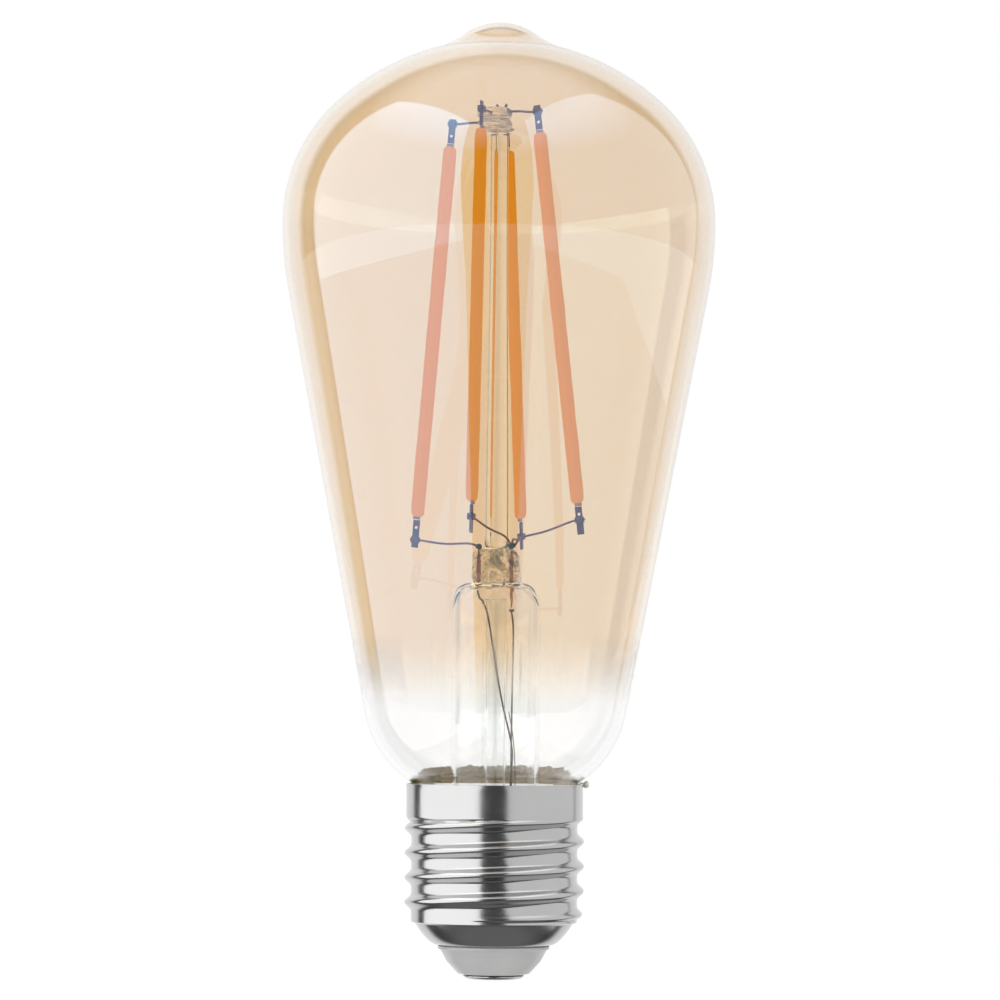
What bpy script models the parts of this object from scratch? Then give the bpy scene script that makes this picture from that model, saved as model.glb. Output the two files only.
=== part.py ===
"""Smart filament light bulb: tapered glass envelope, four LED filaments on a glass
stem, and a screw cap that holds the driver and the wireless module.

Sizes are in millimetres and are turned into metres where the meshes are made. The
origin is the centre of the flat end of the centre contact, and +Z runs up the axis of
the bulb, so -Y is the front.
"""

import math

import bmesh
import bpy
from mathutils import Matrix, Vector

mm = 0.001

# Gaps between pieces
seat_gap = 0.1        # between pieces that rest on each other or are fused together
wire_gap = 0.08       # round a wire in its bore
liner_gap = 0.3       # between the lining of the cap, the shell and the board

# Screw cap
thread_radius = 13.2      # over the crests of the thread
thread_depth = 1.0
thread_pitch = 3.629      # seven turns to the inch
thread_phase = 20.26      # height of a crest on the +X side
thread_sharpness = 2.0    # 1 is a plain wave, and more narrows the ridges
thread_low = 9.4          # the thread has faded out below this height
thread_high = 24.0        # the plain collar starts here
fade_low, fade_high = 1.6, 1.5    # height over which each end of the thread fades
collar_inset = 0.2        # of the collar inside the crests
shell_height = 28.6       # rim of the shell
shell_wall = 0.3
bowl_top = 8.4            # the shell draws in below this height
bowl_bottom = 5.0
bowl_radius = 8.35        # hole in the bottom of the shell
bowl_inset = 1.45         # of the top of the bowl inside the crests

# Insulator and centre contact
insulator_top = 6.8
insulator_lip = 0.15      # how far the lip stands in from the hole in the shell
insulator_foot = 5.3      # radius at its lower end
foot_height = 0.85
contact_radius = 4.5
contact_face = 3.6        # radius of the flat end
contact_rim = 0.55
nail_radius = 0.8
nail_height = 6.0
wire_bore = 1.35          # hole through the insulator for the nail and the wire

# Glass envelope
body_radius = 32.0        # widest ring
widest_height = 111.5     # height of that ring
shoulder_radius = 23.8    # arc above the widest ring
crown_angle = 46.0        # degrees up the shoulder where the crown takes over
pip_height = 2.6          # above the crown
pip_radius = 9.2          # ball that rounds the pip
flank_radius = 55.0       # arc below the widest ring
bottom_radius = 15.5      # arc that closes the foot of the taper
bottom_offset = 4.0       # distance of that arc's centre from the axis
neck_fillet = 2.0
neck_shoulder = 27.1      # height where the neck turns straight
neck_bottom = 24.0
cement_room = 1.3         # between the collar and the neck
cement_skin = 0.35        # of the cement that climbs the glass
glass_wall = 0.8

# Glass stem
stem_radius = 5.85
stem_wall = 0.7
flare_height = 5.5
shoulder_height = 3.7     # over which the tube draws in to the press
pinch_width = 3.7         # half width of the tube where it meets the press
pinch_ratio = 0.62        # depth beside width there
press_width, press_depth, press_height = 6.8, 3.8, 5.7
press_round = 1.2
exhaust_radius = 1.7
exhaust_wall = 0.4
exhaust_tip = 21.6        # height of the closed end
exhaust_drop = 2.0        # below the press
rod_foot, rod_head = 1.75, 1.32    # radii of the support rod
feet_room = 4.6           # from the press up to the feet of the lower filaments
button_height = 3.9
button_radius = 2.65
head_shift = -0.7         # the button and the heads of the filaments stand left of the axis
crown_room = 8.9          # between the button and the inside of the crown

# Filaments
filament_turn = -17.0     # degrees, of the first filament from +X
filament_length = 55.3
filament_width, filament_depth = 2.0, 1.7
filament_round = 0.7
foot_circle, head_circle = 12.4, 6.9    # radii on which the filaments stand
raised_hang, lowered_hang = 4.0, 5.75   # of the phosphor below the top of the button
strip_width, strip_thick = 1.0, 0.35
strip_reach = 0.35        # of the strip past the phosphor
chip_width, chip_long, chip_thick = 0.5, 1.1, 0.2
chip_count = 10
chip_margin = 2.2         # from the ends of the phosphor to the first chips
trace_width = 0.2
terminal_width, terminal_thick = 1.0, 0.25
top_terminal, bottom_terminal = 3.65, 4.1    # lengths
terminal_hole = 0.25      # radius
hole_place = 1.1          # from the inner end of the terminal
crimp_length, crimp_depth, crimp_height = 1.15, 0.95, 0.9
# Distance of each crimp from its phosphor, at the head and at the foot
head_crimps = (3.2, 3.2, 3.4, 2.9)
foot_crimps = (2.4, 2.6, 3.4, 2.2)

# Wires
support_wire = 0.2        # radii
lead_wire = 0.18
seal_wire = 0.35
stem_wire = 0.15
shell_wire = 0.12
crimp_tail = 0.9          # of a wire past its crimp
solder_depth = 0.42       # half of the solder spot, out from the rim
left_seal, right_seal = -2.6, 2.2
seal_front = 1.1          # of the seal wires in front of the axis

# Driver
board_radius_gap = 0.25   # to the lining
board_thick = 1.0
parts_room = 9.4          # between the insulator and the board
liner_wall = 0.4
liner_top = 22.6
liner_bottom = 9.6
capacitor_radius, capacitor_length = 3.15, 8.4
inductor_radius, inductor_length = 2.75, 6.0
resistor_radius, resistor_length = 1.1, 6.0
edge_margin = 0.8         # of the tall parts from the edge of the board
chip_size = (3.9, 4.9, 1.5)
rectifier_size = (4.0, 4.7, 1.9)
module_size = (8.4, 7.6, 0.8)
module_place = (-2.0, 1.4)
shield_size = (6.0, 6.6, 1.6)

# Worked out from the sizes above
collar_radius = thread_radius - collar_inset
root_radius = thread_radius - thread_depth
neck_radius = collar_radius - shell_wall - cement_room
crown_radius = shoulder_radius + (body_radius - shoulder_radius) / math.cos(math.radians(crown_angle))
crown_centre = widest_height - (body_radius - shoulder_radius) * math.tan(math.radians(crown_angle))
crown_top = crown_centre + crown_radius
bottom_centre = neck_shoulder + math.sqrt(
    (bottom_radius + neck_fillet) ** 2 - (neck_radius + neck_fillet - bottom_offset) ** 2
)
button_top = crown_top - glass_wall - crown_room
button_bottom = button_top - button_height
rod_top = button_bottom - seat_gap
filament_drop = math.sqrt(filament_length**2 - (foot_circle - head_circle) ** 2)
rod_bottom = button_top - lowered_hang - filament_drop - feet_room
press_top = rod_bottom - seat_gap
press_bottom = press_top - press_height
tube_top = press_bottom - seat_gap
board_bottom = insulator_top + parts_room
board_top = board_bottom + board_thick
liner_radius = root_radius - shell_wall - liner_gap
board_radius = liner_radius - liner_wall - board_radius_gap
side_wire_place = collar_radius - shell_wall - seat_gap - 0.3


def new_collection(name):
    found = bpy.data.collections.get(name)
    if found is None:
        found = bpy.data.collections.new(name)
        bpy.context.scene.collection.children.link(found)
    return found


def clear_scene():
    for old in list(bpy.data.objects):
        bpy.data.objects.remove(old, do_unlink=True)


def material(name, colour, roughness, metallic=0.0):
    made = bpy.data.materials.get(name) or bpy.data.materials.new(name)
    made.use_nodes = True
    shader = made.node_tree.nodes["Principled BSDF"]
    shader.inputs["Base Color"].default_value = (*colour, 1.0)
    shader.inputs["Roughness"].default_value = roughness
    shader.inputs["Metallic"].default_value = metallic
    made.diffuse_color = (*colour, 1.0)
    return made


def amber_glass():
    return material("amber_glass", (0.93, 0.78, 0.60), 0.05)


def clear_glass():
    return material("clear_glass", (0.90, 0.93, 0.93), 0.05)


def phosphor():
    return material("phosphor", (0.86, 0.50, 0.10), 0.55)


def ceramic():
    return material("ceramic", (0.88, 0.88, 0.85), 0.45)


def chip_blue():
    return material("chip_blue", (0.55, 0.60, 0.68), 0.3)


def terminal_steel():
    return material("terminal_steel", (0.36, 0.34, 0.33), 0.35, 1.0)


def lead_metal():
    return material("lead_metal", (0.33, 0.28, 0.25), 0.35, 1.0)


def copper():
    return material("copper", (0.72, 0.38, 0.24), 0.3, 1.0)


def nickel_plate():
    return material("nickel_plate", (0.75, 0.75, 0.76), 0.12, 1.0)


def cement():
    return material("cement", (0.42, 0.38, 0.24), 0.85)


def insulator_grey():
    return material("insulator_grey", (0.62, 0.62, 0.62), 0.4)


def solder():
    return material("solder", (0.62, 0.60, 0.56), 0.35, 1.0)


def board_green():
    return material("board_green", (0.05, 0.25, 0.14), 0.5)


def black_resin():
    return material("black_resin", (0.03, 0.03, 0.03), 0.5)


def liner_white():
    return material("liner_white", (0.85, 0.85, 0.83), 0.6)


def finish(ob, surface, smooth=True, home="smart_light_bulb"):
    """Put an object in its collection, and give it its material and shading."""
    new_collection(home).objects.link(ob)
    if surface is not None:
        ob.data.materials.append(surface)
    if smooth and ob.type == "MESH" and ob.data.polygons:
        ob.data.shade_smooth()
        ob.data.set_sharp_from_angle(angle=math.radians(35))
    return ob


def baked(ob):
    """Replace an object's modifiers, or a curve, by the mesh that they give."""
    name, surfaces = ob.name, [slot.material for slot in ob.material_slots]
    graph = bpy.context.evaluated_depsgraph_get()
    graph.update()
    mesh = bpy.data.meshes.new_from_object(ob.evaluated_get(graph))
    form = bmesh.new()
    form.from_mesh(mesh)
    bmesh.ops.remove_doubles(form, verts=form.verts, dist=1e-7)
    form.to_mesh(mesh)
    form.free()
    place, parent, homes = ob.matrix_world.copy(), ob.parent, list(ob.users_collection)
    bpy.data.objects.remove(ob, do_unlink=True)
    made = bpy.data.objects.new(name, mesh)
    for home in homes:
        home.objects.link(made)
    made.parent = parent
    made.matrix_world = place
    if not mesh.materials:
        for surface in surfaces:
            mesh.materials.append(surface)
    return made


def turned(name, outline, surface, steps=32, loop=False):
    """Turn an outline of (radius, height) points, which runs down its outer side."""
    mesh = bpy.data.meshes.new(name)
    rungs = [(i, i + 1) for i in range(len(outline) - 1)]
    if loop:
        rungs.append((len(outline) - 1, 0))
    mesh.from_pydata([(r * mm, 0.0, z * mm) for r, z in outline], rungs, [])
    ob = finish(bpy.data.objects.new(name, mesh), surface)
    turn = ob.modifiers.new("turn", "SCREW")
    turn.axis = "Z"
    turn.angle = 2 * math.pi
    turn.steps = turn.render_steps = steps
    turn.use_merge_vertices = True
    turn.merge_threshold = 1e-6
    turn.use_smooth_shade = True
    return ob


def thicken(ob, wall):
    """Give an open surface a wall on its inner side."""
    shell = ob.modifiers.new("wall", "SOLIDIFY")
    shell.thickness = wall * mm
    shell.offset = -1.0
    shell.use_even_offset = True
    return ob


def box(name, size, place, surface, turn=0.0, soften=0.0, home="smart_light_bulb"):
    mesh = bpy.data.meshes.new(name)
    form = bmesh.new()
    bmesh.ops.create_cube(form, size=1.0)
    bmesh.ops.scale(form, vec=Vector(size) * mm, verts=form.verts)
    form.to_mesh(mesh)
    form.free()
    ob = finish(bpy.data.objects.new(name, mesh), surface, smooth=soften > 0, home=home)
    ob.location = Vector(place) * mm
    ob.rotation_euler = (0.0, 0.0, turn)
    if soften:
        edge = ob.modifiers.new("edges", "BEVEL")
        edge.width = soften * mm
        edge.segments = 3
        edge.limit_method = "ANGLE"
    return ob


def rod(name, radius, length, place, surface, sides=16, soften=0.0, home="smart_light_bulb"):
    """An upright cylinder centred on a place."""
    mesh = bpy.data.meshes.new(name)
    form = bmesh.new()
    bmesh.ops.create_cone(
        form, cap_ends=True, segments=sides, radius1=radius * mm, radius2=radius * mm, depth=length * mm
    )
    form.to_mesh(mesh)
    form.free()
    ob = finish(bpy.data.objects.new(name, mesh), surface, home=home)
    ob.location = Vector(place) * mm
    if soften:
        edge = ob.modifiers.new("edges", "BEVEL")
        edge.width = soften * mm
        edge.segments = 2
        edge.limit_method = "ANGLE"
    return ob


def smooth_route(points, spans):
    """Points along a smooth curve through the given ones."""
    ends = [points[0] * 2 - points[1], *points, points[-1] * 2 - points[-2]]
    route = []
    for a, b, c, d in zip(ends, ends[1:], ends[2:], ends[3:]):
        for i in range(spans):
            t = i / spans
            route.append(
                (b * 2 + (c - a) * t + (a * 2 - b * 5 + c * 4 - d) * t**2 + (b * 3 - a - c * 3 + d) * t**3) / 2
            )
    return [*route, points[-1]]


def wire(name, points, radius, surface, spans=3):
    """A round wire with closed ends along a smooth route."""
    curve = bpy.data.curves.new(name, "CURVE")
    curve.dimensions = "3D"
    curve.bevel_depth = radius * mm
    curve.bevel_resolution = 2
    curve.use_fill_caps = True
    route = smooth_route([Vector(p) for p in points], spans)
    line = curve.splines.new("POLY")
    line.points.add(len(route) - 1)
    for knot, place in zip(line.points, route):
        knot.co = (*(place * mm), 1.0)
    return baked(finish(bpy.data.objects.new(name, curve), surface))


def hide_tool(ob):
    ob.hide_render = True
    ob.display_type = "WIRE"
    return ob


def combine(ob, tool, operation="DIFFERENCE"):
    step = ob.modifiers.new(operation.lower(), "BOOLEAN")
    step.operation = operation
    step.solver = "EXACT"
    step.object = hide_tool(tool)
    return ob


def bore(ob, name, radius, start, end, parent=None, sides=12):
    """Cut a round hole between two points, given in the parent's own frame."""
    start, end = Vector(start), Vector(end)
    tool = rod(name, radius, (end - start).length, (start + end) / 2, None, sides, home="cutters")
    tool.rotation_mode = "QUATERNION"
    tool.rotation_quaternion = (end - start).to_track_quat("Z", "Y")
    tool.parent = parent
    return combine(ob, tool)


def arc(centre, radius, start, end, count):
    """Points of an arc between two angles in degrees, measured from +X up to +Z."""
    return [
        (
            centre[0] + radius * math.cos(math.radians(start + (end - start) * i / count)),
            centre[1] + radius * math.sin(math.radians(start + (end - start) * i / count)),
        )
        for i in range(count + 1)
    ]


def ease(low, high, value):
    """0 below low, 1 above high and a smooth step between them."""
    t = min(max((value - low) / (high - low), 0.0), 1.0)
    return t * t * (3 - 2 * t)


def taper_angle():
    """Angle in degrees of the straight taper that touches the flank and bottom arcs."""
    across = bottom_offset - (body_radius - flank_radius)
    along = widest_height - bottom_centre
    return math.degrees(
        math.atan2(along, across) - math.acos((flank_radius - bottom_radius) / math.hypot(along, across))
    )


def neck_angle():
    """Angle in degrees below level where the bottom arc hands over to the neck's fillet."""
    return math.degrees(math.atan2(bottom_centre - neck_shoulder, neck_radius + neck_fillet - bottom_offset))


def envelope_outline():
    """The outer side of the glass, from the tip of the pip down to the end of the neck."""
    pip_centre = crown_top + pip_height - pip_radius
    rise = pip_centre - crown_centre
    meet_height = (crown_radius**2 - pip_radius**2 + rise**2) / (2 * rise)
    pip_end = math.degrees(math.asin((meet_height - rise) / pip_radius))
    crown_start = math.degrees(math.asin(meet_height / crown_radius))
    taper = taper_angle()
    turn = neck_angle()
    outline = arc((0.0, pip_centre), pip_radius, 90, pip_end + 6, 4)
    outline += arc((0.0, crown_centre), crown_radius, crown_start - 1.5, crown_angle, 6)
    outline += arc((body_radius - shoulder_radius, widest_height), shoulder_radius, crown_angle, 0, 5)[1:]
    outline += arc((body_radius - flank_radius, widest_height), flank_radius, 0, -taper, 2)[1:]
    outline += arc((bottom_offset, bottom_centre), bottom_radius, -taper, -turn, 6)
    outline += arc((neck_radius + neck_fillet, neck_shoulder), neck_fillet, 180 - turn, 180, 3)[1:]
    outline.append((neck_radius, neck_bottom))
    outline[0] = (0.0, outline[0][1])
    return outline


def glass_radius(height):
    """Outer radius of the glass near the neck, at a height."""
    if height <= neck_shoulder:
        return neck_radius
    if height <= neck_shoulder + neck_fillet * math.sin(math.radians(180 - neck_angle())):
        inset = math.sqrt(neck_fillet**2 - (height - neck_shoulder) ** 2)
        return neck_radius + neck_fillet - inset
    return bottom_offset + math.sqrt(bottom_radius**2 - (bottom_centre - height) ** 2)


def build_envelope():
    envelope = turned("glass_envelope", envelope_outline(), amber_glass(), steps=28)
    thicken(envelope, glass_wall)


def shell_radius(angle, height):
    """Outer radius of the screw shell: collar, right-hand thread and foot of the thread."""
    turns = (height - thread_phase) / thread_pitch - angle / (2 * math.pi)
    ridge = (0.5 + 0.5 * math.cos(2 * math.pi * turns)) ** thread_sharpness
    ridge *= ease(thread_low - fade_low, thread_low + fade_low / 2, height)
    threaded = root_radius + thread_depth * ridge
    foot = thread_radius - bowl_inset
    threaded += (foot - root_radius) * (1 - ease(bowl_top, thread_low, height))
    rise = ease(thread_high - fade_high, thread_high, height)
    raised = max(threaded, root_radius + (collar_radius - root_radius) * rise)
    return raised + (collar_radius - raised) * rise**4


def build_shell():
    """A drawn and rolled sheet metal shell: turn a plain can, then roll the thread in."""
    rows_per_turn = 6
    rows = round((thread_high - bowl_top) / thread_pitch * rows_per_turn)
    heights = [thread_high + (bowl_top - thread_high) * i / rows for i in range(rows + 1)]
    foot = thread_radius - bowl_inset
    bowl_drop = bowl_top - bowl_bottom
    outline = [(collar_radius, shell_height)]
    outline += [(collar_radius, z) for z in heights]
    outline += [
        (bowl_radius + (foot - bowl_radius) * (1 - share) ** 0.6, bowl_top - bowl_drop * share)
        for share in (0.33, 0.63, 0.86, 1.0)
    ]
    shell = baked(turned("screw_shell", outline, nickel_plate(), steps=32))
    for corner in shell.data.vertices:
        height = corner.co.z / mm
        if bowl_top - 1e-3 < height < shell_height - 1e-3:
            angle = math.atan2(corner.co.y, corner.co.x)
            radius = shell_radius(angle, height) * mm
            corner.co.x = radius * math.cos(angle)
            corner.co.y = radius * math.sin(angle)
    thicken(shell, shell_wall)


def build_insulator():
    hole = bowl_radius - shell_wall - insulator_lip
    seat = bowl_bottom - seat_gap
    outline = [
        (wire_bore, insulator_top),
        (hole + 0.9, insulator_top),
        (hole, seat + 0.6),
        (hole, seat),
        (bowl_radius - insulator_lip, seat),
        (insulator_foot, foot_height),
        (contact_radius + seat_gap, contact_rim + seat_gap),
        (wire_bore, contact_rim + seat_gap),
    ]
    turned("cap_insulator", outline, insulator_grey(), steps=32, loop=True)


def build_contact():
    outline = [
        (0.0, nail_height),
        (nail_radius, nail_height),
        (nail_radius, contact_rim),
        (contact_radius, contact_rim),
        (contact_radius, contact_rim - 0.15),
        (contact_face, 0.0),
        (0.0, 0.0),
    ]
    turned("centre_contact", outline, nickel_plate(), steps=24)


def cement_top(angle):
    """Height of the cement's ragged upper edge, which climbs the glass at the back."""
    climb = 1.9 * ease(0.12, 0.95, math.sin(angle))
    ripple = 0.18 * math.sin(5 * angle + 0.6) + 0.12 * math.sin(11 * angle + 2.0)
    return shell_height - 0.35 + climb + ripple * ease(-0.4, 0.6, math.sin(angle))


def build_cement():
    """A ring of cement between the collar and the neck of the glass."""
    bottom = thread_high + seat_gap
    rim = shell_height + seat_gap
    inside = collar_radius - shell_wall - seat_gap
    rows = 8
    outer_side = [(thread_radius, 1 - i / rows) for i in range(rows + 1)]
    inner_side = [(neck_radius, i / rows) for i in range(rows + 1)]
    ring = baked(turned("basing_cement", outer_side + inner_side, cement(), steps=36, loop=True))
    for corner in ring.data.vertices:
        angle = math.atan2(corner.co.y, corner.co.x)
        top = cement_top(angle)
        share = corner.co.z / mm * 2
        fold = min(rim, top - 0.2)
        height = bottom + (fold - bottom) * share if share <= 1 else fold + (top - fold) * (share - 1)
        radius = glass_radius(height) + seat_gap
        if math.hypot(corner.co.x, corner.co.y) / mm > (thread_radius + neck_radius) / 2:
            radius += cement_skin
            if height < shell_height - 0.6:
                radius = inside
            elif height <= rim + 1e-4:
                radius = min(radius, inside)
        corner.co = (radius * mm * math.cos(angle), radius * mm * math.sin(angle), height * mm)
    start, end = (side_wire_place, 0, bottom - 1), (side_wire_place, 0, shell_height + 1)
    bore(ring, "cement_wire_hole", shell_wire + wire_gap, start, end)


def build_stem():
    flare_reach = neck_radius - glass_wall - seat_gap - stem_radius
    lean = math.radians(70)
    wide, high = flare_reach / (1 - math.cos(lean)), flare_height / math.sin(lean)
    flare_top = neck_bottom + flare_height
    shoulder = tube_top - shoulder_height
    outline = [
        (pinch_width + (stem_radius - pinch_width) * math.sin(math.radians(a)) ** 0.9,
         shoulder + shoulder_height * math.cos(math.radians(a)))
        for a in (0, 22, 45, 68, 90)
    ]
    outline += [
        (stem_radius + wide * (1 - math.cos(lean * i / 5)), flare_top - high * math.sin(lean * i / 5))
        for i in range(6)
    ]
    tube = baked(turned("stem_flare", outline, clear_glass(), steps=24))
    for corner in tube.data.vertices:
        pinch = ease(shoulder, tube_top, corner.co.z / mm)
        corner.co.y *= 1 + (pinch_ratio - 1) * pinch
    thicken(tube, stem_wall)

    middle = (press_top + press_bottom) / 2
    press = box("stem_press", (press_width, press_depth, press_height), (0, 0, middle), clear_glass(), soften=press_round)
    for side, place in (("left", left_seal), ("right", right_seal)):
        hole = Vector((place, -seal_front, middle))
        reach = Vector((0, 0, press_height))
        bore(press, "press_hole_" + side, seal_wire + wire_gap, hole - reach, hole + reach)

    exhaust_top = press_bottom - exhaust_drop
    bulb_end = arc((0.0, exhaust_tip + exhaust_radius), exhaust_radius, 0, -90, 4)
    inner_radius = exhaust_radius - exhaust_wall
    inner_end = arc((0.0, exhaust_tip + exhaust_radius), inner_radius, -90, 0, 4)
    bulb_end[-1] = (0.0, exhaust_tip)
    inner_end[0] = (0.0, exhaust_tip + exhaust_wall)
    outline = [(inner_radius, exhaust_top), (exhaust_radius, exhaust_top), *bulb_end]
    exhaust = turned("exhaust_tube", outline + inner_end, clear_glass(), steps=16)
    close_outline(exhaust)

    outline = [(0.0, rod_top), (rod_head, rod_top), (rod_head, rod_top - 8.0), (rod_foot, rod_bottom), (0.0, rod_bottom)]
    turned("support_rod", outline, clear_glass(), steps=16)


def close_outline(ob):
    """Join the first and last points of an outline that also runs along the axis."""
    form = bmesh.new()
    form.from_mesh(ob.data)
    form.verts.ensure_lookup_table()
    form.edges.new((form.verts[-1], form.verts[0]))
    axis_edge = [e for e in form.edges if all(abs(v.co.x) < 1e-9 for v in e.verts)]
    bmesh.ops.delete(form, geom=axis_edge, context="EDGES")
    form.to_mesh(ob.data)
    form.free()


def build_button():
    rings = [
        (0.0, 0.0), (0.72, 0.0), (0.98, 0.6), (1.0, 1.5), (0.87, 1.8), (0.98, 2.2),
        (0.96, 2.7), (0.83, 2.95), (0.89, 3.3), (0.75, 3.7), (0.57, 3.9), (0.0, 3.9),
    ]
    outline = [(share * button_radius, -drop * button_height / 3.9) for share, drop in rings]
    button = turned("rod_button", outline, clear_glass(), steps=16)
    button.location = Vector((head_shift, 0, button_top)) * mm
    for index in range(4):
        inner, across = button_hole(index)
        inner -= Vector((head_shift, 0, button_top))
        bore(button, "button_hole_%d" % (index + 1), support_wire + wire_gap, inner, inner + across * 3, button)


def filament_angle(index):
    return math.radians(filament_turn + 90 * index)


def filament_radial(index):
    return Vector((math.cos(filament_angle(index)), math.sin(filament_angle(index)), 0.0))


def filament_head(index):
    """Upper end of the phosphor. The first and last filaments stand higher than the others."""
    hang = raised_hang if index in (0, 3) else lowered_hang
    return filament_radial(index) * head_circle + Vector((head_shift, 0, button_top - hang))


def filament_foot(index):
    """Lower end of the phosphor."""
    head = filament_head(index)
    foot = filament_radial(index) * foot_circle
    foot.z = head.z - math.sqrt(filament_length**2 - (foot.x - head.x) ** 2 - (foot.y - head.y) ** 2)
    return foot


def filament_frame(index):
    """Directions out from a filament, across it and up along it."""
    up = (filament_head(index) - filament_foot(index)).normalized()
    across = up.cross(filament_radial(index)).normalized()
    return across.cross(up), across, up


def filament_point(index, along, outward=0.0):
    """A point at a distance up a filament from the foot of its phosphor, and out from its axis."""
    out, _, up = filament_frame(index)
    return filament_foot(index) + up * along + out * outward


def button_hole(index):
    """Inner end and direction of a hole in the button, which points at the crimp on its wire."""
    grip = filament_point(index, filament_length + head_crimps[index])
    across = Vector((grip.x - head_shift, grip.y, 0)).normalized()
    return across * 1.1 + Vector((head_shift, 0, grip.z)), across


def build_terminal(name, holder, start, crimp, length, direction):
    """A flat tab with a small hole, and a crimp that grips the wire across it."""
    middle = start + direction * length / 2
    tab = box(name, (terminal_width, terminal_thick, length), (0, 0, middle), terminal_steel())
    tab.parent = holder
    grip = box(
        name + "_grip", (crimp_length, crimp_depth, crimp_height), (0, 0, crimp), None, home="cutters"
    )
    grip.parent = holder
    combine(tab, grip, "UNION")
    hole = start + direction * hole_place
    bore(tab, name + "_hole", terminal_hole, (0, -1, hole), (0, 1, hole), holder, sides=8)
    reach = crimp_length
    bore(tab, name + "_wire_hole", support_wire + wire_gap, (-reach, 0, crimp), (reach, 0, crimp), holder, sides=8)


def build_filament(index):
    number = index + 1
    holder = bpy.data.objects.new("filament_frame_%d" % number, None)
    new_collection("smart_light_bulb").objects.link(holder)
    holder.location = filament_foot(index) * mm
    holder.rotation_euler = Matrix(filament_frame(index)).transposed().to_euler()

    half = filament_length / 2
    coat = box(
        "phosphor_coat_%d" % number, (filament_width, filament_depth, filament_length), (0, 0, half),
        phosphor(), soften=filament_round,
    )
    coat.parent = holder
    slot_depth = strip_thick + chip_thick + 3 * wire_gap
    slot_width = strip_width + 2 * wire_gap
    slot = box("coat_slot_%d" % number, (slot_width, slot_depth, filament_length + 4), (0, 0, half), None, home="cutters")
    slot.parent = holder
    combine(coat, slot)

    strip_place = (slot_depth - strip_thick) / 2 - wire_gap
    strip_long = filament_length + 2 * strip_reach
    strip = box("substrate_strip_%d" % number, (strip_width, strip_thick, strip_long), (0, strip_place, half), ceramic())
    strip.parent = holder
    build_chips(number, holder, strip_place - strip_thick / 2 - wire_gap / 2 - chip_thick / 2)

    head = filament_length + strip_reach + seat_gap
    foot = -strip_reach - seat_gap
    build_terminal("top_terminal_%d" % number, holder, head, filament_length + head_crimps[index], top_terminal, 1)
    build_terminal("bottom_terminal_%d" % number, holder, foot, -foot_crimps[index], bottom_terminal, -1)


def build_chips(number, holder, depth):
    """The row of LED chips on one strip, joined by the thin trace that feeds them."""
    pitch = (filament_length - 2 * chip_margin) / (chip_count - 1)
    side = []
    for i in range(chip_count):
        low = chip_margin + pitch * i - chip_long / 2
        side += [(trace_width / 2, low), (chip_width / 2, low)]
        side += [(chip_width / 2, low + chip_long), (trace_width / 2, low + chip_long)]
    curve = bpy.data.curves.new("led_chips_%d" % number, "CURVE")
    curve.dimensions = "2D"
    curve.fill_mode = "BOTH"
    curve.extrude = chip_thick / 2 * mm
    outline = curve.splines.new("POLY")
    outline.use_cyclic_u = True
    places = side + [(-x, y) for x, y in reversed(side)]
    outline.points.add(len(places) - 1)
    for knot, (x, y) in zip(outline.points, places):
        knot.co = (x * mm, y * mm, 0.0, 1.0)
    row = baked(finish(bpy.data.objects.new("led_chips_%d" % number, curve), chip_blue()))
    row.rotation_euler = (math.pi / 2, 0.0, 0.0)
    row.location = (0.0, depth * mm, 0.0)
    row.parent = holder


def build_cage_wires():
    """Support wires from the button to the heads, and leads from the press to the feet."""
    for index in range(4):
        head = filament_length + head_crimps[index]
        inner, across = button_hole(index)
        start = inner + across * 0.3
        bend = inner + across * (button_radius - 0.1) + Vector((0, 0, 0.12))
        points = [start, bend, filament_point(index, head, -1.0), filament_point(index, head, crimp_tail)]
        wire("top_support_wire_%d" % (index + 1), points, support_wire, lead_metal(), spans=2)

    # Each lead leaves the press by its own side of the seal wire
    knot = Vector((right_seal, -seal_front, press_top + 0.45))
    left_knot = Vector((left_seal, -seal_front, press_top + 0.35))
    routes = (
        (knot + Vector((0.55, -0.1, 0)), knot + Vector((1.5, -0.4, 1.2)), 0.45),
        (knot + Vector((0.1, 0.55, 0)), knot + Vector((0.2, 2.2, 1.0)), 0.5),
        (left_knot + Vector((-0.4, 0.1, 0)), left_knot + Vector((-1.6, 0.4, 0.35)), 0.5),
        (knot + Vector((-0.1, -0.55, 0)), knot + Vector((-1.0, -2.4, 1.3)), 0.5),
    )
    for index, (start, rise, share) in enumerate(routes):
        foot = -foot_crimps[index]
        near = filament_point(index, foot, -1.0)
        middle = rise.lerp(near, share) + Vector((0, 0, -0.35))
        points = [start, rise, middle, near, filament_point(index, foot, crimp_tail)]
        wire("bottom_lead_wire_%d" % (index + 1), points, lead_wire, lead_metal(), spans=2)


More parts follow.
